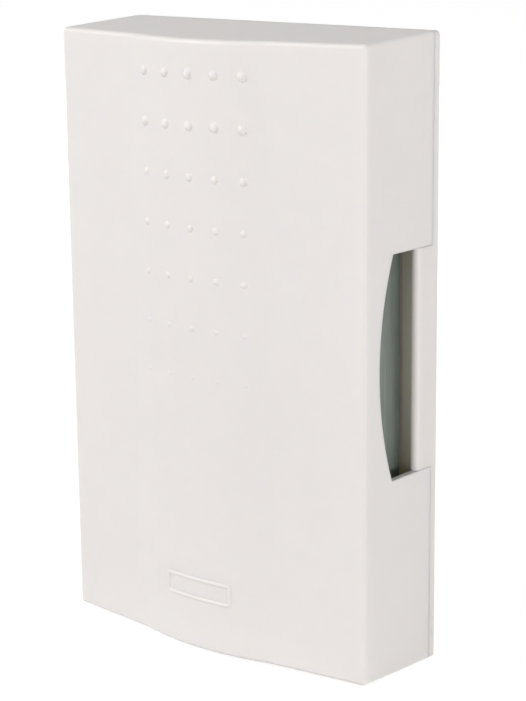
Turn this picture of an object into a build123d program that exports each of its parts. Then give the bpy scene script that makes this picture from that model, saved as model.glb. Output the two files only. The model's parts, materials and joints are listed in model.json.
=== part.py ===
"""Two-tone doorbell chime box: a cover, a back plate, two tone bars and a solenoid with two strikers."""
from build123d import *
from math import asin, cos, degrees, dist, pi, radians, sin, sqrt, tan
import os

# Sizes are in millimetres. X runs across the box, +Y into the wall and +Z up.
# The origin is the centre of the wall face, and a depth is a distance in front of it.
OVERRUN = 2.0
FIT = 0.05

# Box and cover
box_width = 113.0
box_height = 184.0
edge_depth = 33.6
flank_rise = 4.0
crown_rise = 3.8
crown_half_width = 24.7
crown_blend_radius = 14.0
side_draft = 1.1
end_draft = 2.7
cover_wall = 2.0
edge_radius = 1.4
seam_gap = 0.08
slot_length = 65.0
slot_front_gap = 6.6
slot_bow = 6.0

# Bumps on the crown, smaller row by row
bump_columns = 5
bump_column_pitch = 9.05
bump_row_pitch = 14.55
bump_top_inset = 11.6
bump_radius = 1.5
bump_height = 0.8
bump_root = 0.8
bump_row_shares = (1.0, 0.98, 0.8, 0.74, 0.68, 0.54, 0.42)

# Ribs inside the cover
cover_rib_thickness = 1.2
cover_rib_reach = 2.6
cover_rib_gap = 0.2
cover_rib_height_share = 0.66
cover_rib_width_share = 0.5

# Back plate
plate_thickness = 2.4
lip_height = 4.0
lip_thickness = 1.6
lip_clearance = 0.3
lip_slot_margin = 3.5
grip_width = 2.0
grip_height_share = 0.52
grip_width_share = 0.6
plate_rib_thickness = 1.2
plate_rib_height = 1.3
plate_rib_inset = 20.8
plate_rib_end_gap = 36.0

# Sill across the rear of each side slot
sill_thickness = 3.0
sill_rise = 6.8

# Wall fixings and cable entry
keyhole_inset = 16.0
keyhole_drop = 7.5
keyhole_entry_radius = 4.6
wall_screw_radius = 2.2
wall_slot_length = 9.0
wall_slot_inset = 22.5
wall_slot_rise = 20.0
entry_rise = 14.0
entry_radius = 5.0
entry_collar_wall = 1.8
entry_collar_height = 1.6

# Tone bars
bar_end_gap = 13.0
bar_length_step = 17.5
bar_thickness = 2.5
bar_corner_radius = 1.5
bar_side_inset = 8.2
bar_rear_depth = 6.7
bar_front_gap = 2.9
bar_hole_radius = 3.4
bar_play = 0.6
node_share = 0.224

# Grommets, pegs and retainers
flange_radius = 4.8
flange_thickness = 1.3
flange_edge_radius = 0.4
peg_radius = 1.9
peg_clearance = 0.1
peg_tip = 0.6
retainer_thickness = 0.6
retainer_radius = 4.0
retainer_teeth = 3
retainer_tooth_width = 1.0
retainer_tooth_reach = 1.1
post_width = 9.6
post_thickness = 4.0
gusset_thickness = 2.0
gusset_reach = 9.0
gusset_height_share = 0.7

# Solenoid frame
yoke_side_room = 25.8
yoke_strip = 1.5
yoke_width = 22.0
yoke_inner_radius = 0.5
yoke_seat_height = 2.6
ear_radius = 4.5
ear_reach = 4.0
keeper_tab_width = 7.0
keeper_tab_proud = 0.5

# Bobbin and winding
core_radius = 4.0
running_clearance = 0.08
barrel_wall = 1.1
neck_length = 1.0
cheek_thickness = 1.6
cheek_corner_radius = 2.5
winding_margin = 0.5
tape_thickness = 0.3
pin_radius = 0.5
pin_length = 5.0
pin_depth_back = 3.7

# Plunger, strikers and spring
core_sunk = 14.0
release_gap = 2.5
stroke_gap = 6.5
striker_radius = 2.5
striker_left_reach = 5.3
striker_nose_radius = 1.0
spigot_radius = 1.5
spigot_length = 5.0
clip_inset = 2.0
clip_thickness = 0.7
clip_groove_depth = 0.7
clip_radius = 6.2
clip_mouth = 4.4
spring_wire_radius = 0.28
spring_turns = 8.0
spring_core_gap = 0.47
spring_arcs_per_turn = 4
gap_points_per_turn = 24

# Screws
screw_radius = 1.45
screw_hole_radius = 1.6
screw_bite = 3.8
screw_head_radius = 2.8
screw_head_height = 1.9
screw_slot_width = 0.8
screw_slot_depth = 0.8
screw_boss_radius = 4.2

# Terminal block
block_rise = 18.0
block_width = 12.0
block_base = 7.4
block_top = 12.6
block_seat_height = 3.0
block_end_margin = 0.6
block_rib_thickness = 2.0
pole_spacing = 14.0
turret_radius = 3.6
turret_bore_radius = 2.2
insert_radius = 2.4
insert_axis_height = 4.0
wire_bore_radius = 1.2
clamp_screw_radius = 1.3
clamp_head_radius = 2.0
clamp_head_height = 1.6
clamp_head_gap = 0.4

# Coil leads
lead_radius = 0.7
lead_knee_share = 0.25
lead_ankle_share = 0.55
lead_arc_share = 0.45

# Cable clamp
clamp_rise = 16.0
clamp_spacing = 18.0
clamp_width = 7.0
clamp_thickness = 2.6
clamp_boss_radius = 3.4
clamp_boss_height = 4.6
clamp_saddle_radius = 3.6

# Places that follow from the sizes
shoulder_depth = edge_depth + flank_rise
crown_depth = shoulder_depth + crown_rise
slot_middle_depth = edge_depth - slot_front_gap
slot_end_depth = slot_middle_depth - slot_bow
bump_top_height = box_height / 2 - bump_top_inset
rim_depth = plate_thickness + seam_gap
keyhole_height = box_height / 2 - keyhole_inset
wall_slot_half = box_width / 2 - wall_slot_inset
wall_slot_height = wall_slot_rise - box_height / 2
entry_height = entry_rise - box_height / 2
clamp_height = entry_height + clamp_rise
block_height = clamp_height + block_rise
low_bar_length = box_height - 2 * bar_end_gap
high_bar_length = low_bar_length - bar_length_step
bar_outer_half = box_width / 2 - bar_side_inset
bar_inner_half = bar_outer_half - bar_thickness
bar_width = edge_depth - cover_wall - bar_front_gap - bar_rear_depth
plate_rib_half = bar_inner_half - plate_rib_inset
plate_rib_end = box_height / 2 - plate_rib_end_gap
axis_depth = bar_rear_depth + bar_width / 2
grommet_inner_half = bar_inner_half - FIT - flange_thickness
grommet_outer_half = bar_outer_half + FIT + flange_thickness
post_face_half = grommet_inner_half - FIT
retainer_half = grommet_outer_half + bar_play + FIT
yoke_rear_depth = plate_thickness + yoke_seat_height
yoke_web_depth = yoke_rear_depth + yoke_strip
yoke_front_depth = 2 * axis_depth - yoke_web_depth
yoke_bend_radius = yoke_inner_radius + yoke_strip
yoke_length = 2 * (bar_inner_half - yoke_side_room)
leg_inner_half = yoke_length / 2 - yoke_strip
cheek_half = axis_depth - yoke_web_depth - yoke_inner_radius - FIT
barrel_radius = core_radius + running_clearance + barrel_wall
tape_radius = cheek_half - winding_margin
winding_radius = tape_radius - tape_thickness - FIT
neck_end_half = yoke_length / 2 + neck_length
plunger_left = -(bar_inner_half - release_gap)
plunger_right = bar_inner_half - stroke_gap
core_left = plunger_left + striker_left_reach
core_right = neck_end_half - core_sunk
clip_left = core_left + clip_inset
spring_radius = core_radius + spring_core_gap + spring_wire_radius
ear_screw_height = yoke_width / 2 + ear_reach
block_seat_depth = plate_thickness + block_seat_height
insert_axis_depth = block_seat_depth + insert_axis_height
pin_half = leg_inner_half - FIT - cheek_thickness / 2
SIDES = (-1, 1)


def block(left, right, rear, front, low, high):
    """Box between two sides, two depths and two heights."""
    centre = Pos((left + right) / 2, -(rear + front) / 2, (low + high) / 2)
    return centre * Box(right - left, front - rear, high - low)


def rod(radius, start, end):
    """Round bar between two points."""
    along = Vector(end) - Vector(start)
    middle = Vector(start) + along / 2
    return Plane(origin=middle, z_dir=along) * Cylinder(radius, along.length)


def rod_across(radius, left, right, depth, height):
    """Round bar along X."""
    return rod(radius, (left, -depth, height), (right, -depth, height))


def rod_out(radius, side, height, rear, front):
    """Round bar that stands out from the wall."""
    return rod(radius, (side, -rear, height), (side, -front, height))


def wall_slab(sketch, rear, front):
    """Sketch seen from the front, made solid between two depths."""
    return Pos(0, -rear, 0) * extrude(Plane.XZ * sketch, front - rear)


def side_slab(sketch, left, right):
    """Sketch seen from the side, made solid between two places along X."""
    return Pos(left, 0, 0) * extrude(Plane.YZ * sketch, right - left)


def save(name, *shapes):
    """One file for one node."""
    solids = [solid for shape in shapes for solid in shape.solids()]
    export_step(Compound(solids), f"parts/{name}.step")


def plan_outline(inset, rear):
    """Plan of the cover: drafted sides, sloping flanks and a crowned band that blends into them."""
    def half_at(depth):
        return box_width / 2 - inset - (depth - rim_depth) * tan(radians(side_draft))
    corner = edge_depth - inset
    shoulder = shoulder_depth - inset
    lines = Polyline(
        (-crown_half_width, -shoulder), (-half_at(corner), -corner), (-half_at(rear), -rear),
        (half_at(rear), -rear), (half_at(corner), -corner), (crown_half_width, -shoulder))
    crown = ThreePointArc(
        (crown_half_width, -shoulder), (0, inset - crown_depth), (-crown_half_width, -shoulder))
    face = make_face(lines + crown)
    kinks = face.vertices().filter_by(lambda corner: abs(corner.Y + shoulder) < FIT)
    return fillet(kinks, crown_blend_radius)


def cover_form(inset, rear):
    """The cover's outer shape, drawn in by an inset, from a rear depth to the crown."""
    plan = extrude(plan_outline(inset, rear), box_height + 2 * OVERRUN, dir=(0, 0, 1))
    column = Pos(0, 0, -box_height / 2 - OVERRUN) * plan

    def high_at(depth):
        return box_height / 2 - inset - (depth - rim_depth) * tan(radians(end_draft))
    front = crown_depth + OVERRUN
    side_view = make_face(Polyline(
        (-rear, -high_at(rear)), (-front, -high_at(front)), (-front, high_at(front)),
        (-rear, high_at(rear)), close=True))
    return column & side_slab(side_view, -box_width / 2 - OVERRUN, box_width / 2 + OVERRUN)


def rounded_cover_form():
    """The outer shape with every moulded edge rounded but the rear rim and the soft kinks."""
    form = cover_form(0, rim_depth)
    soft = crown_half_width + crown_blend_radius

    def is_moulded(edge):
        middle = edge.center()
        upright = abs(middle.Z) < FIT and abs(middle.X) < soft
        return -middle.Y > rim_depth + FIT and not upright
    return fillet(form.edges().filter_by(is_moulded), edge_radius)


def crown_radius():
    """Radius of the crowned band."""
    rise = crown_depth - shoulder_depth
    return (crown_half_width ** 2 + rise ** 2) / (2 * rise)


def bump(share):
    """Shallow round bump with a short root, on its own axis."""
    radius = bump_radius * share
    rise = bump_height * share ** 2
    ball_radius = (radius ** 2 + rise ** 2) / (2 * rise)
    ball = Pos(0, 0, rise - ball_radius) * Sphere(ball_radius)
    stem = Pos(0, 0, (rise - bump_root) / 2) * Cylinder(radius, rise + bump_root)
    root = Pos(0, 0, -bump_root / 2) * Cylinder(radius, bump_root)
    return (ball & stem) + root


def bumps():
    """Rows of bumps, square to the crown."""
    arc = crown_radius()
    found = []
    for row, share in enumerate(bump_row_shares):
        height = bump_top_height - row * bump_row_pitch
        for column in range(bump_columns):
            across = (column - (bump_columns - 1) / 2) * bump_column_pitch
            lean = asin(across / arc)
            depth = crown_depth - arc * (1 - cos(lean))
            place = Pos(across, -depth, height) * Rot(0, 0, degrees(lean)) * Rot(90, 0, 0)
            found.append(place * bump(share))
    return found


def side_slots():
    """D shaped cut through both side walls, open to the rear rim."""
    end = slot_length / 2
    rear = rim_depth - OVERRUN
    outline = Polyline((-slot_end_depth, -end), (-rear, -end), (-rear, end), (-slot_end_depth, end))
    bow = ThreePointArc((-slot_end_depth, end), (-slot_middle_depth, 0), (-slot_end_depth, -end))
    return side_slab(make_face(outline + bow), -box_width / 2 - OVERRUN, box_width / 2 + OVERRUN)


def cover_ribs():
    """Thin ribs on the inside of all four walls, which stop just short of the lip."""
    rear = plate_thickness + lip_height + cover_rib_gap
    front = edge_depth - cover_wall - cover_rib_reach
    half_width = box_width / 2 - cover_wall
    half_height = box_height / 2 - cover_wall
    thick = cover_rib_thickness / 2
    ribs = []
    for side in SIDES:
        for end in SIDES:
            height = end * half_height * cover_rib_height_share
            inner, outer = sorted((side * (half_width - cover_rib_reach), side * half_width))
            ribs.append(block(inner, outer, rear, front, height - thick, height + thick))
            across = side * half_width * cover_rib_width_share
            low, high = sorted((end * (half_height - cover_rib_reach), end * half_height))
            ribs.append(block(across - thick, across + thick, rear, front, low, high))
    return [rib & cover_form(cover_wall - FIT, rim_depth) for rib in ribs]


def front_cover():
    """Moulded cover with its slots, bumps and ribs."""
    shell = rounded_cover_form() - cover_form(cover_wall, rim_depth - OVERRUN)
    return shell - side_slots() + cover_ribs() + bumps()


def bar_nodes(length):
    """Heights of a bar's two still points."""
    reach = length * (1 / 2 - node_share)
    return (-reach, reach)


def bar_length(side):
    """The low bar hangs on the right and the high bar on the left."""
    return low_bar_length if side > 0 else high_bar_length


def bar_post(side, height):
    """Upright post with a gusset behind it and a peg through the grommet."""
    face = side * post_face_half
    back = side * (post_face_half - post_thickness)
    side_view = Pos(-axis_depth, height) * Circle(post_width / 2)
    side_view += Pos(-(axis_depth + plate_thickness) / 2, height) * Rectangle(
        axis_depth - plate_thickness, post_width)
    post = side_slab(side_view, *sorted((face, back)))
    foot = side * (post_face_half - post_thickness - gusset_reach)
    top = plate_thickness + (axis_depth - plate_thickness) * gusset_height_share
    triangle = make_face(Polyline(
        (back, -plate_thickness), (back, -top), (foot, -plate_thickness), close=True))
    web = extrude(triangle, gusset_thickness, dir=(0, 0, 1))
    gusset = Pos(0, 0, height - gusset_thickness / 2) * web
    tip = side * (retainer_half + retainer_thickness + peg_tip)
    peg = rod_across(peg_radius, face, tip, axis_depth, height)
    return post + gusset + peg


def lip():
    """Drafted lip inside the cover's walls, cut away at the side slots, with grip ribs."""
    top = plate_thickness + lip_height
    outer = cover_form(cover_wall + lip_clearance, plate_thickness)
    inner = cover_form(cover_wall + lip_clearance + lip_thickness, plate_thickness - OVERRUN)
    half_width = box_width / 2
    half_height = box_height / 2
    layer = block(-half_width, half_width, plate_thickness, top, -half_height, half_height)
    wall = (outer & layer) - inner
    grips = []
    for side in SIDES:
        across = side * half_width * grip_width_share
        grips.append(block(
            across - grip_width / 2, across + grip_width / 2, plate_thickness, top,
            -half_height, half_height))
        height = side * half_height * grip_height_share
        grips.append(block(
            -half_width, half_width, plate_thickness, top,
            height - grip_width / 2, height + grip_width / 2))
    snug = cover_form(cover_wall + FIT, plate_thickness)
    grip = [(strip & snug) - inner for strip in grips]
    clear = slot_length / 2 + lip_slot_margin
    gap = block(-half_width, half_width, plate_thickness, top + OVERRUN, -clear, clear)
    return (wall + grip) - gap


def screw_boss(side, height, radius, rise):
    """Round boss with a blind hole for a screw."""
    top = plate_thickness + rise
    return rod_out(radius, side, height, plate_thickness, top)


def screw_hole(side, height, rise):
    """Blind hole under a screw."""
    top = plate_thickness + rise
    return rod_out(screw_radius + FIT, side, height, top - screw_bite - FIT, top + OVERRUN)


def screw_places():
    """Place and boss of every screw in the plate: across, height, boss radius and boss rise."""
    ears = [(0, end * ear_screw_height, screw_boss_radius, yoke_seat_height) for end in SIDES]
    clamp = [(side * clamp_spacing / 2, clamp_height, clamp_boss_radius, clamp_boss_height)
             for side in SIDES]
    return ears + clamp + [(0, block_height, screw_boss_radius, block_seat_height)]


def slot_sill(side):
    """Full-round sill that closes the rear of a side slot, flush with the cover's wall."""
    half = box_width / 2
    crest = plate_thickness + sill_rise
    shoulder = crest - sill_thickness / 2
    outer = half - (shoulder - rim_depth) * tan(radians(side_draft))
    inner = outer - sill_thickness
    sides = Polyline(
        (side * outer, -shoulder), (side * half, -rim_depth), (side * half, -plate_thickness),
        (side * inner, -plate_thickness), (side * inner, -shoulder))
    bow = ThreePointArc(
        (side * inner, -shoulder), (side * (inner + outer) / 2, -crest), (side * outer, -shoulder))
    reach = slot_length / 2 - seam_gap
    return Pos(0, 0, -reach) * extrude(make_face(sides + bow), 2 * reach, dir=(0, 0, 1))


def plate_ribs():
    """Low stiffening ribs: two uprights beside the coil and a level one near each end."""
    top = plate_thickness + plate_rib_height
    thick = plate_rib_thickness / 2
    uprights = [block(side * plate_rib_half - thick, side * plate_rib_half + thick,
                      plate_thickness, top, -plate_rib_end, plate_rib_end) for side in SIDES]
    levels = [block(-plate_rib_half, plate_rib_half, plate_thickness, top,
                    end * plate_rib_end - thick, end * plate_rib_end + thick) for end in SIDES]
    return uprights + levels


def yoke_pads():
    """Two pads that carry the yoke under its legs."""
    pad = yoke_seat_height
    outer = yoke_length / 2 - yoke_bend_radius
    reach = yoke_width / 2 - yoke_bend_radius
    return [block(*sorted((side * outer, side * (outer - pad))), plate_thickness,
                  yoke_rear_depth, -reach, reach) for side in SIDES]


def block_pads():
    """Two ribs that carry the ends of the terminal block."""
    reach = block_width / 2 - block_end_margin
    return [block(side * pole_spacing / 2 - block_rib_thickness / 2,
                  side * pole_spacing / 2 + block_rib_thickness / 2,
                  plate_thickness, block_seat_depth, block_height - reach, block_height + reach)
            for side in SIDES]


def wall_holes():
    """Keyhole, two level slots and the cable entry, all through the plate."""
    entry = Pos(0, keyhole_height - keyhole_drop) * Circle(keyhole_entry_radius)
    neck = Pos(0, keyhole_height - keyhole_drop / 2) * Rectangle(2 * wall_screw_radius, keyhole_drop)
    seat = Pos(0, keyhole_height) * Circle(wall_screw_radius)
    holes = entry + neck + seat
    for side in SIDES:
        place = Pos(side * wall_slot_half, wall_slot_height)
        holes += place * SlotOverall(wall_slot_length, 2 * wall_screw_radius)
    holes += Pos(0, entry_height) * Circle(entry_radius)
    return wall_slab(holes, -OVERRUN, plate_thickness + entry_collar_height + OVERRUN)


def base_plate():
    """Back plate with its lip, posts, pads, bosses and holes."""
    outline = RectangleRounded(box_width, box_height, edge_radius)
    plate = wall_slab(outline, 0, plate_thickness)
    plate += lip()
    for side in SIDES:
        plate += slot_sill(side)
        for height in bar_nodes(bar_length(side)):
            plate += bar_post(side, height)
    plate += yoke_pads() + block_pads() + plate_ribs()
    collar_top = plate_thickness + entry_collar_height
    plate += rod_out(entry_radius + entry_collar_wall, 0, entry_height, plate_thickness, collar_top)
    for side, height, radius, rise in screw_places():
        plate += screw_boss(side, height, radius, rise)
        plate -= screw_hole(side, height, rise)
    return plate - wall_holes()


def tone_bar(side):
    """Steel bar with a hole at each still point."""
    length = bar_length(side)
    side_view = Pos(-axis_depth, 0) * RectangleRounded(bar_width, length, bar_corner_radius)
    for height in bar_nodes(length):
        side_view -= Pos(-axis_depth, height) * Circle(bar_hole_radius)
    return side_slab(side_view, *sorted((side * bar_inner_half, side * bar_outer_half)))


def grommet(side, height):
    """Rubber grommet: two rounded flanges and a grooved waist on the peg."""
    def disc(near, far):
        solid = rod_across(flange_radius, side * near, side * far, axis_depth, height)
        return fillet(solid.edges(), flange_edge_radius)
    inner = disc(grommet_inner_half, bar_inner_half - FIT)
    outer = disc(bar_outer_half + FIT, grommet_outer_half)
    waist = rod_across(bar_hole_radius - FIT, side * grommet_inner_half,
                       side * grommet_outer_half, axis_depth, height)
    bore = rod_across(peg_radius + peg_clearance, side * (grommet_inner_half - OVERRUN),
                      side * (grommet_outer_half + OVERRUN), axis_depth, height)
    return inner + outer + waist - bore


def retainer(side, height):
    """Push-on washer with three teeth cut free round the peg."""
    near = side * retainer_half
    far = side * (retainer_half + retainer_thickness)
    washer = rod_across(retainer_radius, near, far, axis_depth, height)
    beyond = side * (retainer_half + retainer_thickness + OVERRUN)
    before = side * (retainer_half - OVERRUN)
    washer -= rod_across(peg_radius + FIT, before, beyond, axis_depth, height)
    reach = peg_radius + retainer_tooth_reach
    slits = Sketch() + PolarLocations(reach / 2, retainer_teeth) * Rectangle(
        reach, retainer_tooth_width)
    return washer - side_slab(Pos(-axis_depth, height) * slits, *sorted((before, beyond)))


def solenoid_yoke():
    """Bent strip: a web with two screw ears and two legs that carry the bobbin's necks."""
    half = yoke_length / 2
    tab_end = yoke_front_depth + yoke_strip + keeper_tab_proud
    channel = make_face(Polyline(
        (-half, -yoke_front_depth), (-half, -yoke_rear_depth), (half, -yoke_rear_depth),
        (half, -yoke_front_depth), (leg_inner_half, -yoke_front_depth),
        (leg_inner_half, -yoke_web_depth), (-leg_inner_half, -yoke_web_depth),
        (-leg_inner_half, -yoke_front_depth), close=True))
    outer = channel.vertices().filter_by(lambda v: abs(v.Y + yoke_rear_depth) < FIT)
    channel = fillet(outer, yoke_bend_radius)
    inner = channel.vertices().filter_by(lambda v: abs(v.Y + yoke_web_depth) < FIT)
    channel = fillet(inner, yoke_inner_radius)
    yoke = Pos(0, 0, -yoke_width / 2) * extrude(channel, yoke_width, dir=(0, 0, 1))
    for side in SIDES:
        tab = keeper_tab_width / 2
        ends = sorted((side * leg_inner_half, side * half))
        yoke += block(*ends, yoke_front_depth, tab_end, -tab, tab)
        middle = side * (half - yoke_strip / 2)
        yoke -= rod_across(barrel_radius + FIT, middle - yoke_strip, middle + yoke_strip,
                           axis_depth, 0)
        ear = Pos(0, side * ear_screw_height / 2) * Rectangle(2 * ear_radius, ear_screw_height)
        ear += Pos(0, side * ear_screw_height) * Circle(ear_radius)
        yoke += wall_slab(ear, yoke_rear_depth, yoke_web_depth)
        yoke -= rod_out(screw_hole_radius, 0, side * ear_screw_height,
                        yoke_rear_depth - OVERRUN, yoke_web_depth + OVERRUN)
    return yoke


def yoke_keeper():
    """Flat plate across the legs, with a slot for each tab."""
    half = yoke_length / 2
    outline = RectangleRounded(yoke_length, yoke_width, yoke_strip)
    for side in SIDES:
        outline -= Pos(side * (half - yoke_strip / 2), 0) * Rectangle(
            yoke_strip + 2 * FIT, keeper_tab_width + 2 * FIT)
    return wall_slab(outline, yoke_front_depth, yoke_front_depth + yoke_strip)


def coil_bobbin():
    """Spool: a bored barrel with two square cheeks and a neck at each end."""
    bobbin = rod_across(barrel_radius, -neck_end_half, neck_end_half, axis_depth, 0)
    for side in SIDES:
        outer = side * (leg_inner_half - FIT)
        inner = side * (leg_inner_half - FIT - cheek_thickness)
        cheek = RectangleRounded(2 * cheek_half, 2 * cheek_half, cheek_corner_radius)
        bobbin += side_slab(Pos(-axis_depth, 0) * cheek, *sorted((outer, inner)))
        bobbin -= coil_pin(side, pin_radius + FIT)
    return bobbin - rod_across(core_radius + running_clearance, -neck_end_half - OVERRUN,
                               neck_end_half + OVERRUN, axis_depth, 0)


def coil_pin(side, radius):
    """Brass pin in the lower edge of a cheek, for the lead."""
    top = -cheek_half + pin_length / 2
    depth = axis_depth - pin_depth_back
    return rod(radius, (side * pin_half, -depth, top), (side * pin_half, -depth, top - pin_length))


def coil_sleeve(inner, outer):
    """Ring between the cheeks."""
    reach = leg_inner_half - 2 * FIT - cheek_thickness
    ring = rod_across(outer, -reach, reach, axis_depth, 0)
    return ring - rod_across(inner, -reach - OVERRUN, reach + OVERRUN, axis_depth, 0)


def plunger_core():
    """Steel core with a hole for a striker at each end and a groove for the clip."""
    core = rod_across(core_radius, core_left, core_right, axis_depth, 0)
    groove = rod_across(core_radius + OVERRUN, clip_left - FIT, clip_left + clip_thickness + FIT,
                        axis_depth, 0)
    groove -= rod_across(core_radius - clip_groove_depth, clip_left - OVERRUN,
                         clip_left + clip_thickness + OVERRUN, axis_depth, 0)
    core -= groove
    for end, inward in ((core_left, 1), (core_right, -1)):
        core -= rod_across(spigot_radius + FIT, end - inward * OVERRUN,
                           end + inward * (spigot_length + FIT), axis_depth, 0)
    return core


def striker(core_end, tip):
    """Nylon striker: a rod with a rounded nose and a spigot in the core."""
    outward = 1 if tip > core_end else -1
    body = rod_across(striker_radius, core_end, tip, axis_depth, 0)
    nose = body.edges().filter_by(lambda edge: abs(edge.center().X - tip) < FIT)
    body = fillet(nose, striker_nose_radius)
    spigot = rod_across(spigot_radius, core_end - outward * spigot_length, core_end, axis_depth, 0)
    return body + spigot


def spring_clip():
    """Open clip in the core's groove."""
    right = clip_left + clip_thickness
    clip = rod_across(clip_radius, clip_left, right, axis_depth, 0)
    clip -= rod_across(core_radius - clip_groove_depth + FIT, clip_left - OVERRUN,
                       right + OVERRUN, axis_depth, 0)
    mouth = clip_mouth / 2
    return clip - block(clip_left - OVERRUN, right + OVERRUN, axis_depth - mouth,
                        axis_depth + mouth, -clip_radius - OVERRUN, 0)


def spring_point(turn, start, pitch):
    """Place and direction on the spring's helix."""
    angle = 2 * pi * turn
    place = Vector(start + pitch * turn, spring_radius * cos(angle) - axis_depth,
                   spring_radius * sin(angle))
    along = Vector(pitch / (2 * pi), -spring_radius * sin(angle), spring_radius * cos(angle))
    return place, along.normalized()


def two_arcs(start, start_way, end, end_way):
    """Two arcs that join smoothly and leave and arrive in the given directions."""
    gap = end - start
    ways = start_way + end_way
    spread = 2 * (1 - start_way.dot(end_way))
    reach = (sqrt(gap.dot(ways) ** 2 + spread * gap.dot(gap)) - gap.dot(ways)) / spread
    near = start + start_way * reach
    far = end - end_way * reach
    middle = (near + far) / 2
    return [TangentArc(start, middle, tangent=start_way),
            TangentArc(middle, end, tangent=far - near)]


def spring_gap(start, pitch):
    """Least gap between one turn of the wire and the next, measured on points."""
    points = [tuple(spring_point(step / gap_points_per_turn, start, pitch)[0])
              for step in range(int(gap_points_per_turn * spring_turns) + 1)]
    nearest = min(dist(first, other) for place, first in enumerate(points)
                  for other in points[place + gap_points_per_turn // 2:])
    return nearest - 2 * spring_wire_radius


def return_spring():
    """Open coil spring between the clip and the bobbin's neck, as one unbroken wire."""
    start = clip_left + clip_thickness + spring_wire_radius + FIT
    end = -neck_end_half - spring_wire_radius - FIT
    pitch = (end - start) / spring_turns
    arcs = []
    for step in range(int(spring_turns * spring_arcs_per_turn)):
        here = spring_point(step / spring_arcs_per_turn, start, pitch)
        there = spring_point((step + 1) / spring_arcs_per_turn, start, pitch)
        arcs += two_arcs(*here, *there)
    place, way = spring_point(0, start, pitch)
    section = Plane(origin=place, z_dir=way) * Circle(spring_wire_radius)
    print("return_spring least gap", round(spring_gap(start, pitch), 2))
    return sweep(section, path=Wire(arcs))


def screw(side, height, seat, bite):
    """Screw with a slotted head on its seat."""
    head_top = seat + screw_head_height
    body = rod_out(screw_head_radius, side, height, seat, head_top)
    body = fillet(body.edges().filter_by(lambda e: e.center().Y < FIT - head_top), screw_slot_depth / 2)
    body += rod_out(screw_radius, side, height, seat - bite, seat)
    return body - block(side - screw_head_radius, side + screw_head_radius,
                        head_top - screw_slot_depth, head_top + OVERRUN,
                        height - screw_slot_width / 2, height + screw_slot_width / 2)


def pole_places():
    """Places of the two poles across the block."""
    return [side * pole_spacing / 2 for side in SIDES]


def terminal_block():
    """Two-pole block: a low base, a turret over each pole and a wire channel through each."""
    half_length = pole_spacing / 2 + turret_radius + block_end_margin
    base_top = block_seat_depth + block_base
    top = block_seat_depth + block_top
    low = block_height - block_width / 2
    high = block_height + block_width / 2
    body = block(-half_length, half_length, block_seat_depth, base_top, low, high)
    for across in pole_places():
        body += rod_out(turret_radius, across, block_height, block_seat_depth, top)
        wall = turret_radius - turret_bore_radius
        body += block(across - turret_radius, across + turret_radius, block_seat_depth,
                      insert_axis_depth + insert_radius + wall, low, high)
        body -= rod(insert_radius + FIT, (across, -insert_axis_depth, low - OVERRUN),
                    (across, -insert_axis_depth, high + OVERRUN))
        body -= rod_out(clamp_screw_radius + FIT, across, block_height, insert_axis_depth, top)
        body -= rod_out(turret_bore_radius, across, block_height,
                        base_top - clamp_head_gap, top + OVERRUN)
    return body - rod_out(screw_hole_radius, 0, block_height, 0, base_top + OVERRUN)


def terminal_insert(across):
    """Brass tube with a wire bore and a screw hole."""
    reach = block_width / 2 - block_end_margin
    start = (across, -insert_axis_depth, block_height - reach)
    end = (across, -insert_axis_depth, block_height + reach)
    tube = rod(insert_radius, start, end) - rod(wire_bore_radius, start, end)
    return tube - rod_out(clamp_screw_radius + FIT, across, block_height, insert_axis_depth,
                          insert_axis_depth + insert_radius + OVERRUN)


def clamp_screw(across):
    """Screw that presses on the lead."""
    tip = insert_axis_depth + lead_radius + FIT
    seat = block_seat_depth + block_base
    body = rod_out(clamp_screw_radius, across, block_height, tip, seat)
    top = seat + clamp_head_height
    body += rod_out(clamp_head_radius, across, block_height, seat, top)
    return body - block(across - clamp_head_radius, across + clamp_head_radius,
                        top - screw_slot_depth, top + OVERRUN,
                        block_height - screw_slot_width / 2, block_height + screw_slot_width / 2)


def cable_clamp():
    """Bar with a saddle on its underside and a hole at each end."""
    seat = plate_thickness + clamp_boss_height
    half = clamp_spacing / 2 + clamp_boss_radius
    bar = block(-half, half, seat, seat + clamp_thickness,
                clamp_height - clamp_width / 2, clamp_height + clamp_width / 2)
    bar = fillet(bar.edges().filter_by(Axis.Y), clamp_boss_radius)
    low = clamp_height - clamp_width
    high = clamp_height + clamp_width
    drop = clamp_saddle_radius - clamp_thickness / 2
    bar -= rod(clamp_saddle_radius, (0, drop - seat, low), (0, drop - seat, high))
    for side in SIDES:
        bar -= rod_out(screw_hole_radius, side * clamp_spacing / 2, clamp_height,
                       seat - OVERRUN, seat + clamp_thickness + OVERRUN)
    return bar


def coil_lead(side):
    """Insulated lead from a cheek's pin down into its terminal."""
    pin_end = -cheek_half - pin_length / 2
    start = (side * pin_half, pin_depth_back - axis_depth, pin_end)
    fall = pin_end - block_height
    knee = (side * pin_half, pin_depth_back - axis_depth, pin_end - fall * lead_knee_share)
    across = side * pole_spacing / 2
    ankle = (across, -insert_axis_depth, pin_end - fall * lead_ankle_share)
    end = (across, -insert_axis_depth, block_height)
    turn = (Vector(knee) - Vector(start)).get_angle(Vector(ankle) - Vector(knee))
    runs = (dist(start, knee), dist(knee, ankle), dist(ankle, end))
    radii = [lead_arc_share * min(pair) / tan(radians(turn / 2)) for pair in zip(runs, runs[1:])]
    path = FilletPolyline(start, knee, ankle, end, radius=radii)
    print("coil lead arc radii", [round(radius, 1) for radius in radii])
    section = Plane(origin=path @ 0, z_dir=path % 0) * Circle(lead_radius)
    return sweep(section, path=path)


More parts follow.
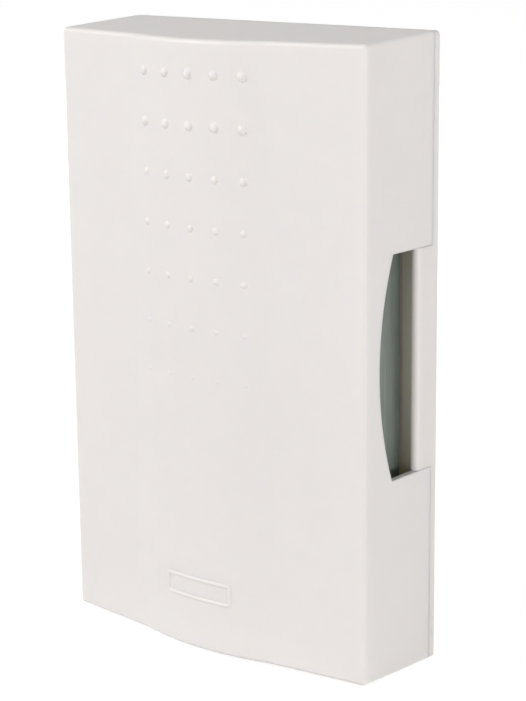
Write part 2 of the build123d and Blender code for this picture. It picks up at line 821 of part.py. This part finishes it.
def main():
    """Write one file for each node."""
    os.makedirs("parts", exist_ok=True)
    save("front_cover", front_cover())
    save("base_plate", base_plate())
    for name, side in (("high", -1), ("low", 1)):
        save(f"tone_bar_{name}", tone_bar(side))
        save(f"grommets_{name}", *[grommet(side, height) for height in bar_nodes(bar_length(side))])
    save("bar_retainers", *[retainer(side, height) for side in SIDES
                            for height in bar_nodes(bar_length(side))])
    save("solenoid_yoke", solenoid_yoke())
    save("yoke_keeper", yoke_keeper())
    save("coil_bobbin", coil_bobbin())
    save("coil_winding", coil_sleeve(barrel_radius + FIT, winding_radius))
    save("coil_tape", coil_sleeve(winding_radius + FIT, tape_radius))
    save("coil_pins", *[coil_pin(side, pin_radius) for side in SIDES])
    save("plunger_core", plunger_core())
    save("striker_left", striker(core_left, plunger_left))
    save("striker_right", striker(core_right, plunger_right))
    save("spring_clip", spring_clip())
    save("return_spring", return_spring())
    save("solenoid_screws", *[screw(0, end * ear_screw_height, yoke_web_depth, yoke_strip + screw_bite)
                              for end in SIDES])
    save("terminal_block", terminal_block())
    save("terminal_inserts", *[terminal_insert(across) for across in pole_places()])
    save("terminal_screws", *[clamp_screw(across) for across in pole_places()])
    save("block_screw", screw(0, block_height, block_seat_depth + block_base, block_base + screw_bite))
    save("cable_clamp", cable_clamp())
    clamp_seat = plate_thickness + clamp_boss_height + clamp_thickness
    save("cable_clamp_screws", *[screw(side * clamp_spacing / 2, clamp_height, clamp_seat,
                                       clamp_thickness + screw_bite) for side in SIDES])
    save("coil_lead_left", coil_lead(-1))
    save("coil_lead_right", coil_lead(1))


main()
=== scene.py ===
"""Looks of the doorbell chime box: finishes, a few small pieces, floor, lamps and camera."""
import json
from math import cos, pi, radians, sin

import bmesh
import bpy
from mathutils import Matrix, Vector
from mathutils.bvhtree import BVHTree

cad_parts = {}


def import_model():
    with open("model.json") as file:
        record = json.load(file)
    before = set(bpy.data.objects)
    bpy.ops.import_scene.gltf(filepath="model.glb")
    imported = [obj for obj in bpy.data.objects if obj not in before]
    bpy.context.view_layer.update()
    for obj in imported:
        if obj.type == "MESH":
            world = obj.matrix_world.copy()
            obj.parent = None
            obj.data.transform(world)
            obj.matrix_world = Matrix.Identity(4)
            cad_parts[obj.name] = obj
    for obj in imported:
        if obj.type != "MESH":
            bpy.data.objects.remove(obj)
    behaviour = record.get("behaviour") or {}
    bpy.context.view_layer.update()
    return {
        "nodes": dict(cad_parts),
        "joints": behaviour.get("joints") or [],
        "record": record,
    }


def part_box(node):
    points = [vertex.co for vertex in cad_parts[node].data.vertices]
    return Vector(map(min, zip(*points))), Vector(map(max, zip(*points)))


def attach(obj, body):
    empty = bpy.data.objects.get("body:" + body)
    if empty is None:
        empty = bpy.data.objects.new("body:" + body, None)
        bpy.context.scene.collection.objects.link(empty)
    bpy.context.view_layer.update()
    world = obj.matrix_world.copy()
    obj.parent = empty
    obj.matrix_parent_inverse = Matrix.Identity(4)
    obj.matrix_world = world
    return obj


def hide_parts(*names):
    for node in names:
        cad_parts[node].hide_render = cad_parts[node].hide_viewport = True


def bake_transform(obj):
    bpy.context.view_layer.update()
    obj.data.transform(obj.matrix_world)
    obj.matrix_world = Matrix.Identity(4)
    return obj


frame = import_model()

MM = 0.001
NODES = frame["nodes"]
JOINTS = {joint["name"]: joint for joint in frame["joints"]}


def corners_mm(node):
    """A node's lowest and highest corners at rest, in mm."""
    return [Vector(corner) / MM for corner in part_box(node)]


# Finishes

# Rays of each bevel and occlusion node
MASK_SAMPLES = 4
# Period of the wave texture at scale 1, in its own units
WAVE_PERIOD = 0.314


class Finish:
    """A procedural finish: one Principled shader, fed by noise in the object's own coordinates."""

    def __init__(self, name, colour, **uniform):
        self.material = bpy.data.materials.new(name)
        self.material.use_nodes = True
        self.tree = self.material.node_tree
        self.shader = self.tree.nodes["Principled BSDF"]
        self.colour = (*colour, 1.0)
        self.normal = None
        for socket, value in uniform.items():
            self.shader.inputs[socket.replace("_", " ")].default_value = value

    def node(self, kind, sockets, **settings):
        made = self.tree.nodes.new("ShaderNode" + kind)
        for name, value in settings.items():
            setattr(made, name, value)
        for name, value in sockets.items():
            self.feed(made.inputs[name], value)
        return made

    def feed(self, socket, value):
        if isinstance(value, bpy.types.NodeSocket):
            self.tree.links.new(value, socket)
        else:
            socket.default_value = value

    def place(self, size, stretch):
        """Object coordinates, scaled so that one unit is a grain of this size."""
        coords = self.node("TexCoord", {}).outputs["Object"]
        scale = [1 / (size * MM * share) for share in stretch]
        return self.node("Mapping", {"Vector": coords, "Scale": scale}).outputs[0]

    def noise(self, size, detail=2.0, stretch=(1, 1, 1), low=0.3, high=0.7):
        """Smooth variation with grains of a size in mm, spread from 0 to 1."""
        sockets = {"Vector": self.place(size, stretch), "Scale": 1.0, "Detail": detail}
        return self.ramp(self.node("TexNoise", sockets).outputs[0], low, high)

    def ramp(self, value, low, high, start=0.0, end=1.0):
        return self.node("MapRange", {"Value": value, "From Min": low, "From Max": high,
                                      "To Min": start, "To Max": end}).outputs[0]

    def both(self, first, second):
        return self.node("Math", {0: first, 1: second}, operation="MULTIPLY").outputs[0]

    def specks(self, size, reach, share, stretch=(1, 1, 1)):
        """Few round spots: a share of cells of a size in mm, each spot a reach of its cell."""
        cells = self.node("TexVoronoi", {"Vector": self.place(size, stretch), "Scale": 1.0})
        spot = self.ramp(cells.outputs["Distance"], reach * 0.5, reach, 1.0, 0.0)
        pick = self.node("SeparateColor", {"Color": cells.outputs["Color"]}).outputs[0]
        return self.both(spot, self.ramp(pick, share, share + 0.01, 1.0, 0.0))

    def bands(self, period, axis, distortion=0.0):
        """Even ripples across one axis, with a period in mm."""
        sockets = {"Vector": self.place(1.0, (1, 1, 1)), "Scale": WAVE_PERIOD / period,
                   "Distortion": distortion, "Detail": 1.0}
        wave = self.node("TexWave", sockets, wave_type="BANDS", bands_direction=axis)
        return wave.outputs["Fac"]

    def edges(self, reach):
        """Mask of the corners within a reach in mm."""
        soft = self.node("Bevel", {"Radius": reach * MM}, samples=MASK_SAMPLES).outputs[0]
        plain = self.node("NewGeometry", {}).outputs["Normal"]
        turn = self.node("VectorMath", {0: soft, 1: plain}, operation="DOT_PRODUCT").outputs["Value"]
        return self.ramp(turn, 0.99, 0.8)

    def crevices(self, reach):
        """Mask of the occluded corners, where shade is painted."""
        occlusion = self.node("AmbientOcclusion", {"Distance": reach * MM}, samples=MASK_SAMPLES)
        return self.ramp(occlusion.outputs["AO"], 0.75, 0.25)

    def across(self, kind):
        """The X and Z parts of the object's own place or normal, without their signs."""
        vector = self.node("TexCoord", {}).outputs[kind]
        parts = self.node("SeparateXYZ", {0: vector}).outputs
        return [self.node("Math", {0: parts[axis]}, operation="ABSOLUTE").outputs[0] for axis in "XZ"]

    def end_edges(self):
        """Mask of the rounded edges between the end walls and the long walls."""
        return self.ramp(self.both(*self.across("Normal")), 0.15, 0.45)

    def inside(self, half_width, half_height, fade=0.5):
        """Mask of what lies within half sizes in mm, with a soft limit."""
        x, z = self.across("Object")
        return self.both(self.ramp(x, (half_width + fade) * MM, half_width * MM),
                         self.ramp(z, (half_height + fade) * MM, half_height * MM))

    def tint(self, mask, colour, strength=1.0):
        """Lay a colour over the present one where the mask is."""
        if strength != 1.0:
            mask = self.ramp(mask, 0.0, 1.0, 0.0, strength)
        self.colour = self.node("Mix", {0: mask, 6: self.colour, 7: (*colour, 1.0)},
                                data_type="RGBA").outputs[2]

    def shine(self, mask, low, high):
        """Roughness from low to high."""
        self.feed(self.shader.inputs["Roughness"], self.ramp(mask, 0.0, 1.0, low, high))

    def soften(self, radius):
        """Round the look of sharp corners by a radius in mm."""
        self.normal = self.node("Bevel", {"Radius": radius * MM}, samples=MASK_SAMPLES).outputs[0]

    def bump(self, height, depth, strength=1.0):
        """Relief with a depth in mm."""
        sockets = {"Height": height, "Distance": depth * MM, "Strength": strength}
        if self.normal:
            sockets["Normal"] = self.normal
        self.normal = self.node("Bump", sockets).outputs[0]

    def done(self):
        self.feed(self.shader.inputs["Base Color"], self.colour)
        if self.normal:
            self.feed(self.shader.inputs["Normal"], self.normal)
        return self.material


# Reach of light under the skin: shares of red, green and blue, and the whole in mm
SKIN_RADIUS = (1.0, 0.88, 0.62)
SKIN_DEPTH = 3.5


def moulded(name, colour, pale, dull, grain, low, high, soften=0.15, under_skin=0.35):
    """Moulded plastic: faint clouds, fine spark grain, few specks and a painted highlight on the
    corners.
    """
    finish = Finish(name, colour, Subsurface_Weight=under_skin, Subsurface_Radius=SKIN_RADIUS,
                    Subsurface_Scale=SKIN_DEPTH * MM)
    finish.tint(finish.noise(38, 3.0), pale, 0.5)
    finish.tint(finish.noise(9, 2.0), dull, 0.25)
    finish.tint(finish.specks(7.0, 0.03, 0.12), [0.6 * share for share in colour], 0.5)
    # Painted highlight: corners a little lighter, standing in for the light that rounded edges catch
    finish.tint(finish.edges(0.5), [min(1.0, 1.05 * share) for share in colour], 0.5)
    finish.shine(finish.noise(2.2, 3.0), low, high)
    finish.soften(soften)
    finish.bump(finish.noise(grain, 2.0), 0.012)
    finish.bump(finish.noise(14, 1.0), 0.03, 0.5)
    return finish


COVER_COLOURS = ((0.815, 0.775, 0.752), (0.84, 0.80, 0.777), (0.79, 0.752, 0.73))


def cover_plastic():
    finish = moulded("cover_plastic", *COVER_COLOURS, 0.45, 0.40, 0.52, 0.4)
    # Painted highlight: a pale line along the rounded edges between the end walls and the long walls
    finish.tint(finish.end_edges(), (0.93, 0.90, 0.885), 0.9)
    return finish


def border_plastic():
    """The cover's plastic on a thin rim, where light under the skin would leak away."""
    return moulded("border_plastic", *COVER_COLOURS, 0.45, 0.40, 0.52, 0.2, 0.0)


PLATE_LOW, PLATE_HIGH = corners_mm("base_plate")
# From the plate's outline to the inside of its lip, where the painted shade stops
SHADE_INSET = 4.7
SHADE_REACH = 8.0


def plate_plastic():
    finish = moulded("plate_plastic", (0.80, 0.762, 0.738), (0.82, 0.78, 0.757), (0.77, 0.735, 0.712),
                     0.6, 0.45, 0.6)
    floor_inside = finish.inside(PLATE_HIGH.x - SHADE_INSET, PLATE_HIGH.z - SHADE_INSET)
    painted_shade = finish.both(finish.crevices(SHADE_REACH), floor_inside)
    # Painted shade: olive darkening in the plate's occluded corners, with a greenish painted bounce
    # from the bar
    finish.tint(painted_shade, (0.60, 0.71, 0.495), 0.85)
    return finish


def bar_steel():
    finish = Finish("bar_steel", (0.215, 0.252, 0.224), Metallic=0.3)
    finish.tint(finish.noise(0.7, 3.0, (1, 1, 80)), (0.30, 0.35, 0.312), 0.9)
    finish.tint(finish.noise(7, 3.0, (1, 1, 2)), (0.20, 0.222, 0.196), 0.6)
    finish.tint(finish.specks(1.4, 0.2, 0.22, (1, 1, 1.6)), (0.13, 0.14, 0.13), 0.45)
    finish.tint(finish.noise(2.5, 4.0, low=0.64, high=0.76), (0.24, 0.20, 0.13), 0.4)
    finish.tint(finish.edges(0.35), (0.55, 0.58, 0.54), 0.6)
    finish.shine(finish.noise(0.8, 3.0, (1, 1, 20)), 0.52, 0.7)
    finish.soften(0.25)
    finish.bump(finish.noise(0.35, 3.0, (1, 1, 50)), 0.01)
    finish.bump(finish.specks(2.1, 0.2, 0.3), 0.02, 0.6)
    return finish


def grommet_rubber():
    finish = Finish("grommet_rubber", (0.018, 0.018, 0.019), Specular_IOR_Level=0.35)
    finish.tint(finish.noise(3.0, 3.0), (0.04, 0.039, 0.038), 0.8)
    finish.tint(finish.edges(0.4), (0.075, 0.073, 0.07), 0.5)
    finish.tint(finish.noise(0.8, 4.0, low=0.6, high=0.75), (0.12, 0.115, 0.105), 0.35)
    finish.shine(finish.noise(1.0, 2.0), 0.6, 0.85)
    finish.soften(0.2)
    finish.bump(finish.noise(0.25, 2.0), 0.02)
    return finish


def bright_metal(name, colour, shade, stretch, low, high, worn, soften=0.15):
    """Plain metal with drawn or rolled grain, light scratches and bright corners."""
    finish = Finish(name, colour, Metallic=1.0)
    finish.tint(finish.noise(0.6, 3.0, stretch), shade, 0.55)
    finish.tint(finish.noise(5.0, 3.0), [0.72 * share for share in shade], 0.4)
    finish.tint(finish.edges(0.3), worn, 0.7)
    finish.shine(finish.noise(0.9, 3.0, stretch), low, high)
    finish.soften(soften)
    finish.bump(finish.noise(0.3, 2.0, stretch), 0.006)
    return finish


def spring_steel():
    return bright_metal("spring_steel", (0.50, 0.50, 0.51), (0.36, 0.36, 0.37), (6, 1, 1),
                        0.22, 0.38, (0.66, 0.66, 0.67), 0.05)


def plated_steel():
    finish = bright_metal("plated_steel", (0.60, 0.61, 0.62), (0.48, 0.49, 0.50), (14, 1, 1),
                          0.28, 0.46, (0.76, 0.76, 0.76))
    finish.tint(finish.noise(2.4, 4.0, low=0.56, high=0.72), (0.66, 0.62, 0.50), 0.35)
    finish.bump(finish.noise(1.6, 3.0), 0.008, 0.5)
    return finish


def bobbin_plastic():
    return moulded("bobbin_plastic", (0.70, 0.67, 0.58), (0.75, 0.72, 0.64), (0.62, 0.59, 0.50),
                   0.5, 0.38, 0.55)


# From one turn of the winding to the next
TURN_PITCH = 0.24


def copper_wire():
    finish = Finish("copper_wire", (0.50, 0.17, 0.06), Metallic=0.85, Coat_Weight=0.5,
                    Coat_Roughness=0.2)
    finish.tint(finish.bands(TURN_PITCH, "X"), (0.70, 0.30, 0.12), 0.7)
    finish.tint(finish.noise(3.0, 2.0), (0.36, 0.11, 0.04), 0.5)
    finish.shine(finish.noise(1.0, 2.0), 0.25, 0.4)
    finish.bump(finish.bands(TURN_PITCH, "X"), 0.06)
    return finish


def coil_tape():
    finish = Finish("coil_tape", (0.56, 0.36, 0.045), Specular_IOR_Level=0.6, Coat_Weight=0.35,
                    Coat_Roughness=0.12)
    finish.tint(finish.noise(7.0, 2.0), (0.68, 0.47, 0.09), 0.7)
    finish.tint(finish.bands(TURN_PITCH, "X", 0.6), (0.45, 0.27, 0.04), 0.35)
    finish.tint(finish.noise(1.6, 4.0, (3, 1, 1), 0.62, 0.72), (0.78, 0.62, 0.28), 0.5)
    finish.shine(finish.noise(2.0, 2.0), 0.2, 0.34)
    finish.bump(finish.bands(TURN_PITCH, "X", 0.6), 0.02)
    finish.bump(finish.noise(4.0, 2.0, (2, 1, 1)), 0.12, 0.7)
    return finish


def brass():
    finish = bright_metal("brass", (0.66, 0.46, 0.17), (0.50, 0.32, 0.10), (1, 1, 1),
                          0.24, 0.42, (0.82, 0.64, 0.32), 0.1)
    finish.tint(finish.noise(1.4, 4.0, low=0.58, high=0.72), (0.24, 0.13, 0.06), 0.5)
    return finish


def core_steel():
    finish = bright_metal("core_steel", (0.46, 0.46, 0.47), (0.34, 0.34, 0.35), (1, 30, 30),
                          0.2, 0.36, (0.62, 0.62, 0.63), 0.2)
    finish.tint(finish.noise(1.2, 4.0, (4, 1, 1), 0.6, 0.75), (0.2, 0.19, 0.18), 0.6)
    return finish


def striker_nylon():
    finish = moulded("striker_nylon", (0.78, 0.75, 0.66), (0.82, 0.79, 0.72), (0.70, 0.66, 0.56),
                     0.4, 0.3, 0.45, 0.1)
    finish.tint(finish.edges(0.7), (0.35, 0.34, 0.32), 0.45)
    finish.tint(finish.noise(1.0, 4.0, low=0.6, high=0.72), (0.45, 0.43, 0.38), 0.4)
    return finish


def screw_steel():
    finish = bright_metal("screw_steel", (0.56, 0.52, 0.38), (0.44, 0.40, 0.28), (1, 1, 1),
                          0.26, 0.42, (0.74, 0.72, 0.66), 0.12)
    finish.tint(finish.noise(1.8, 3.0), (0.50, 0.50, 0.52), 0.5)
    finish.bump(finish.noise(0.35, 2.0), 0.015)
    return finish


def block_plastic():
    return moulded("block_plastic", (0.66, 0.64, 0.57), (0.71, 0.69, 0.62), (0.58, 0.56, 0.49),
                   0.4, 0.3, 0.48)


def clamp_plastic():
    return moulded("clamp_plastic", (0.77, 0.735, 0.71), (0.80, 0.765, 0.742), (0.72, 0.69, 0.665),
                   0.5, 0.42, 0.6)


def lead_sleeve():
    finish = Finish("lead_sleeve", (0.30, 0.022, 0.014), Specular_IOR_Level=0.55)
    finish.tint(finish.noise(2.5, 3.0), (0.40, 0.045, 0.028), 0.7)
    finish.tint(finish.noise(0.8, 4.0, (1, 1, 4), 0.6, 0.75), (0.2, 0.02, 0.015), 0.6)
    finish.shine(finish.noise(1.2, 2.0), 0.28, 0.45)
    finish.bump(finish.noise(0.4, 2.0, (1, 1, 5)), 0.02)
    return finish


def solder():
    finish = bright_metal("solder", (0.58, 0.58, 0.59), (0.44, 0.44, 0.45), (1, 1, 1),
                          0.2, 0.4, (0.7, 0.7, 0.71), 0.05)
    finish.bump(finish.noise(0.5, 3.0), 0.03)
    return finish


FINISHES = {make.__name__: make().done() for make in (
    cover_plastic, border_plastic, plate_plastic, bar_steel, grommet_rubber, spring_steel,
    plated_steel, bobbin_plastic, copper_wire, coil_tape, brass, core_steel, striker_nylon,
    screw_steel, block_plastic, clamp_plastic, lead_sleeve, solder)}


def wear(obj, name):
    """Give an object one finish all over."""
    if not obj.material_slots:
        obj.data.materials.append(None)
    for slot in obj.material_slots:
        slot.link = "OBJECT"
        slot.material = FINISHES[name]


for part in frame["record"]["subparts"]:
    wear(NODES[part["node"]], part["material_slot"])


# Shapes

def mesh_piece(name, rings, closed_path, body, slot, finish=None):
    """A smooth tube of rings of points, in mm; an open one is capped at both ends."""
    made = bmesh.new()
    rows = [[made.verts.new(Vector(point) * MM) for point in ring] for ring in rings]
    pairs = list(zip(rows, rows[1:] + rows[:1] if closed_path else rows[1:]))
    for near, far in pairs:
        count = len(near)
        for side in range(count):
            made.faces.new((near[side], near[(side + 1) % count],
                            far[(side + 1) % count], far[side]))
    if not closed_path:
        made.faces.new(list(reversed(rows[0])))
        made.faces.new(rows[-1])
    bmesh.ops.recalc_face_normals(made, faces=made.faces)
    for face in made.faces:
        face.smooth = len(face.verts) == 4
    mesh = bpy.data.meshes.new(name)
    made.to_mesh(mesh)
    made.free()
    piece = bpy.data.objects.new(name, mesh)
    bpy.context.scene.collection.objects.link(piece)
    wear(piece, finish or slot)
    if body:
        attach(piece, body)
    return piece


def wire(points, radius, sides):
    """Rings of a round wire along points, carried without twist."""
    points = [Vector(point) for point in points]
    ways = [(points[min(i + 1, len(points) - 1)] - points[max(i - 1, 0)]).normalized()
            for i in range(len(points))]
    across = ways[0].orthogonal().normalized()
    rings = []
    for point, way in zip(points, ways):
        across = (across - way * across.dot(way)).normalized()
        up = way.cross(across)
        turns = [2 * pi * side / sides for side in range(sides)]
        rings.append([point + radius * (across * cos(turn) + up * sin(turn)) for turn in turns])
    return rings


# Bare raised border, low on the crowned band
COVER_LOW = corners_mm("front_cover")[0]
BORDER_HALF_WIDTH = 12.5
BORDER_HEIGHT = 7.3
BORDER_RISE = 17.0
BORDER_LOW = COVER_LOW.z + BORDER_RISE
BORDER_HIGH = BORDER_LOW + BORDER_HEIGHT
BORDER_CORNER = 0.9
BORDER_STEP = 1.0
BORDER_TURNS = 6
# Start of the rays that find the front, ahead of the cover
RAY_LEAD = 5.0
# Way across the rim and rise over the front at each point of its section
BORDER_PROFILE = ((-0.68, -0.25), (-0.64, 0.0), (-0.5, 0.16), (-0.27, 0.28), (0.0, 0.32),
                  (0.27, 0.28), (0.5, 0.16), (0.64, 0.0), (0.68, -0.25))


def border_path():
    """Points round the border with the way out at each, in the plane of the front."""
    inset = BORDER_CORNER + BORDER_PROFILE[-1][0]
    right, high = BORDER_HALF_WIDTH - inset, BORDER_HIGH - inset
    left, low = -right, BORDER_LOW + inset
    corners = ((right, high, 0), (left, high, 90), (left, low, 180), (right, low, 270))
    path = []
    for index, (x, z, start) in enumerate(corners):
        turns = [radians(start + 90 * step / BORDER_TURNS) for step in range(BORDER_TURNS + 1)]
        arc = [((x + BORDER_CORNER * cos(turn), z + BORDER_CORNER * sin(turn)),
                (cos(turn), sin(turn))) for turn in turns]
        next_x, next_z, _ = corners[(index + 1) % 4]
        end, out = arc[-1]
        run_x, run_z = next_x - x, next_z - z
        steps = max(2, round(abs(run_x + run_z) / BORDER_STEP))
        run = [((end[0] + run_x * step / steps, end[1] + run_z * step / steps), out)
               for step in range(1, steps)]
        path += arc + run
    return path


def name_border():
    """The border, seated on the cover's own surface."""
    cover = NODES["front_cover"].data
    surface = BVHTree.FromPolygons([vertex.co for vertex in cover.vertices],
                                   [face.vertices for face in cover.polygons])
    rings = []
    for (x, z), out in border_path():
        ahead = Vector((x, COVER_LOW.y - RAY_LEAD, z)) * MM
        hit, normal, _, _ = surface.ray_cast(ahead, Vector((0, 1, 0)))
        seat = hit / MM
        side = Vector((out[0], 0, out[1]))
        side = (side - normal * side.dot(normal)).normalized()
        rings.append([seat + side * across + normal * rise for across, rise in BORDER_PROFILE])
    mesh_piece("name_border", rings, True, "cover", "cover_plastic", "border_plastic")


# Return spring, closed at its ends and open in the middle, so that it closes evenly
SPRING_LOW, SPRING_HIGH = corners_mm("return_spring")
SPRING_WIRE = 0.28
SPRING_GAP = 0.03
SPRING_BASE_X = SPRING_HIGH.x - SPRING_WIRE - SPRING_GAP
SPRING_CLIP_X = SPRING_LOW.x + SPRING_WIRE + SPRING_GAP
SPRING_RADIUS = SPRING_HIGH.z - SPRING_WIRE
SPRING_STROKE = JOINTS["plunger_slide"]["range_m"][1] / MM
SPRING_CLOSED_PITCH = 0.8
SPRING_STEPS_A_TURN, SPRING_SIDES = 28, 12
SPRING_Y = (SPRING_LOW.y + SPRING_HIGH.y) / 2
HALVINGS = 40


def return_spring():
    """A coil whose pitch follows the blend's squeeze, a smooth step with a slope of 6 s (1 - s)."""
    length = SPRING_BASE_X - SPRING_CLIP_X
    squeeze = 6 * SPRING_STROKE / length

    def turns_at(share):
        return length / SPRING_CLOSED_PITCH * (share - squeeze * (share ** 2 / 2 - share ** 3 / 3))

    def share_at(turns):
        low, high = 0.0, 1.0
        for _ in range(HALVINGS):
            middle = (low + high) / 2
            low, high = (middle, high) if turns_at(middle) < turns else (low, middle)
        return (low + high) / 2

    steps = round(turns_at(1.0) * SPRING_STEPS_A_TURN)
    points = []
    for step in range(steps + 1):
        turns = turns_at(1.0) * step / steps
        angle = 2 * pi * turns
        points.append((SPRING_BASE_X - length * share_at(turns),
                       SPRING_RADIUS * cos(angle) + SPRING_Y, SPRING_RADIUS * sin(angle)))
    piece = mesh_piece("return_spring_coil", wire(points, SPRING_WIRE, SPRING_SIDES), False, None,
                       "spring_steel")
    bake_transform(piece)
    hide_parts("return_spring")


# Coil ends on their pins
PINS_LOW, PINS_HIGH = corners_mm("coil_pins")
PIN_RADIUS = (PINS_HIGH.y - PINS_LOW.y) / 2
PIN_X = PINS_HIGH.x - PIN_RADIUS
PIN_Y = (PINS_LOW.y + PINS_HIGH.y) / 2
PIN_TIP = PINS_LOW.z
# Height over the pin's tip and radius at each step of the drop
SOLDER_OUTLINE = ((0.85, 0.5), (0.75, 0.74), (0.55, 0.86), (0.3, 0.93), (0.0, 0.92),
                  (-0.25, 0.84), (-0.4, 0.72))
SOLDER_SIDES = 16
WRAP_RADIUS, WRAP_WIRE = 0.62, 0.12
WRAP_TURNS, WRAP_STEPS, WRAP_SIDES = 5, 110, 8
WRAP_GAP = 0.35
WRAP_HIGH = corners_mm("coil_bobbin")[0].z - WRAP_GAP
WRAP_LOW = PIN_TIP + SOLDER_OUTLINE[0][0]


def round_pin(side, radius, turn):
    """A point round a pin, for a turn in radians."""
    return side * PIN_X + radius * cos(turn), PIN_Y + radius * sin(turn)


def pin_wraps():
    """Fine copper turns on each pin, with the solder that joins them to the lead."""
    for name, side in (("left", -1), ("right", 1)):
        points = []
        for step in range(WRAP_STEPS + 1):
            share = step / WRAP_STEPS
            height = WRAP_HIGH + (WRAP_LOW - WRAP_HIGH) * share
            points.append((*round_pin(side, WRAP_RADIUS, 2 * pi * WRAP_TURNS * share), height))
        mesh_piece("pin_wrap_" + name, wire(points, WRAP_WIRE, WRAP_SIDES), False, "base",
                   "copper_wire")
        rings = [[(*round_pin(side, radius, 2 * pi * point / SOLDER_SIDES), PIN_TIP + rise)
                  for point in range(SOLDER_SIDES)] for rise, radius in SOLDER_OUTLINE]
        mesh_piece("solder_joint_" + name, rings, False, "base", "brass", "solder")


name_border()
return_spring()
pin_wraps()


# Floor, world and lamps

def plain_rays(tree):
    """1 for the rays that show the background: camera, glossy and transmission."""
    path = tree.nodes.new("ShaderNodeLightPath")
    seen = path.outputs["Is Camera Ray"]
    for name in ("Is Glossy Ray", "Is Transmission Ray"):
        most = tree.nodes.new("ShaderNodeMath")
        most.operation = "MAXIMUM"
        tree.links.new(seen, most.inputs[0])
        tree.links.new(path.outputs[name], most.inputs[1])
        seen = most.outputs[0]
    return seen


FLOOR_HEIGHT = PLATE_LOW.z
FLOOR_HALF = 6000.0
# What the camera sees: its own glow, and how much the box's shadow takes from the rest
FLOOR_GLOW = 0.90
FLOOR_SHADE = 0.28
# What lights the box from below
FLOOR_PALE = 0.78


def floor():
    """A pale floor that the camera sees as white, with the box's soft shadow."""
    mesh = bpy.data.meshes.new("floor")
    corners = [Vector((x, y, FLOOR_HEIGHT)) * MM for x, y in (
        (-FLOOR_HALF, -FLOOR_HALF), (FLOOR_HALF, -FLOOR_HALF),
        (FLOOR_HALF, FLOOR_HALF), (-FLOOR_HALF, FLOOR_HALF))]
    mesh.from_pydata(corners, [], [(0, 1, 2, 3)])
    plane = bpy.data.objects.new("floor", mesh)
    bpy.context.scene.collection.objects.link(plane)
    material = bpy.data.materials.new("floor")
    material.use_nodes = True
    tree = material.node_tree
    tree.nodes.clear()
    glow = tree.nodes.new("ShaderNodeEmission")
    glow.inputs["Strength"].default_value = FLOOR_GLOW
    shade = tree.nodes.new("ShaderNodeBsdfDiffuse")
    shade.inputs["Color"].default_value = (FLOOR_SHADE, FLOOR_SHADE, FLOOR_SHADE, 1)
    shown = tree.nodes.new("ShaderNodeAddShader")
    pale = tree.nodes.new("ShaderNodeBsdfDiffuse")
    pale.inputs["Color"].default_value = (FLOOR_PALE, FLOOR_PALE, FLOOR_PALE, 1)
    mix = tree.nodes.new("ShaderNodeMixShader")
    out = tree.nodes.new("ShaderNodeOutputMaterial")
    tree.links.new(glow.outputs[0], shown.inputs[0])
    tree.links.new(shade.outputs[0], shown.inputs[1])
    tree.links.new(plain_rays(tree), mix.inputs[0])
    tree.links.new(pale.outputs[0], mix.inputs[1])
    tree.links.new(shown.outputs[0], mix.inputs[2])
    tree.links.new(mix.outputs[0], out.inputs["Surface"])
    mesh.materials.append(material)


WORLD_LIGHT = 0.25


def world():
    """White behind everything, at a lower strength as light."""
    made = bpy.data.worlds.new("studio")
    made.use_nodes = True
    tree = made.node_tree
    back = tree.nodes["Background"]
    back.inputs["Color"].default_value = (1, 1, 1, 1)
    span = tree.nodes.new("ShaderNodeMapRange")
    span.inputs["To Min"].default_value = WORLD_LIGHT
    span.inputs["To Max"].default_value = 1.0
    tree.links.new(plain_rays(tree), span.inputs["Value"])
    tree.links.new(span.outputs[0], back.inputs["Strength"])
    bpy.context.scene.world = made


def lamp(name, azimuth, elevation, distance, width, height, strength):
    """Flat lamp that points at the box; strength 1 lights a facing surface to its own colour."""
    azimuth, elevation = radians(azimuth), radians(elevation)
    way = Vector((sin(azimuth) * cos(elevation), -cos(azimuth) * cos(elevation), sin(elevation)))
    light = bpy.data.lights.new(name, "AREA")
    light.shape = "RECTANGLE"
    light.size = width * MM
    light.size_y = height * MM
    light.energy = strength * pi ** 2 * (distance * MM) ** 2
    made = bpy.data.objects.new(name, light)
    bpy.context.scene.collection.objects.link(made)
    made.location = way * distance * MM
    made.rotation_euler = way.to_track_quat("Z", "Y").to_euler()
    made.visible_camera = False


floor()
world()
lamp("key", -44, 33, 3000, 800, 800, 0.58)
lamp("front_fill", 20, 4, 3000, 1300, 600, 0.17)
lamp("right_fill", 82, 3, 1500, 2000, 300, 0.54)
lamp("back_fill", 200, 3, 1500, 1500, 150, 0.42)


# Camera

# Fitted to the box's edges in the photograph
CAMERA_PLACE = (371.07, -461.56, 136.75)
CAMERA_AZIMUTH = radians(39.3673)
CAMERA_ELEVATION = radians(13.6187)
CAMERA_ROLL = radians(-0.6037)
CAMERA_LENS = 103.015
# The width that the lens belongs to, and a reach past the floor's end
SENSOR_WIDTH = 36.0
CLIP_END = 30000.0


def camera():
    """Camera at the photograph's place, from its azimuth, elevation and roll."""
    forward = Vector((-sin(CAMERA_AZIMUTH) * cos(CAMERA_ELEVATION),
                      cos(CAMERA_AZIMUTH) * cos(CAMERA_ELEVATION), -sin(CAMERA_ELEVATION)))
    level = forward.cross(Vector((0, 0, 1))).normalized()
    up = level.cross(forward)
    right = level * cos(CAMERA_ROLL) + up * sin(CAMERA_ROLL)
    up = up * cos(CAMERA_ROLL) - level * sin(CAMERA_ROLL)
    data = bpy.data.cameras.new("camera")
    data.sensor_width = SENSOR_WIDTH
    data.lens = CAMERA_LENS
    data.clip_end = CLIP_END * MM
    made = bpy.data.objects.new("camera", data)
    bpy.context.scene.collection.objects.link(made)
    turned = Matrix((right, up, -forward)).transposed().to_4x4()
    made.matrix_world = Matrix.Translation(Vector(CAMERA_PLACE) * MM) @ turned
    bpy.context.scene.camera = made


camera()
bpy.context.scene.view_settings.view_transform = "Standard"
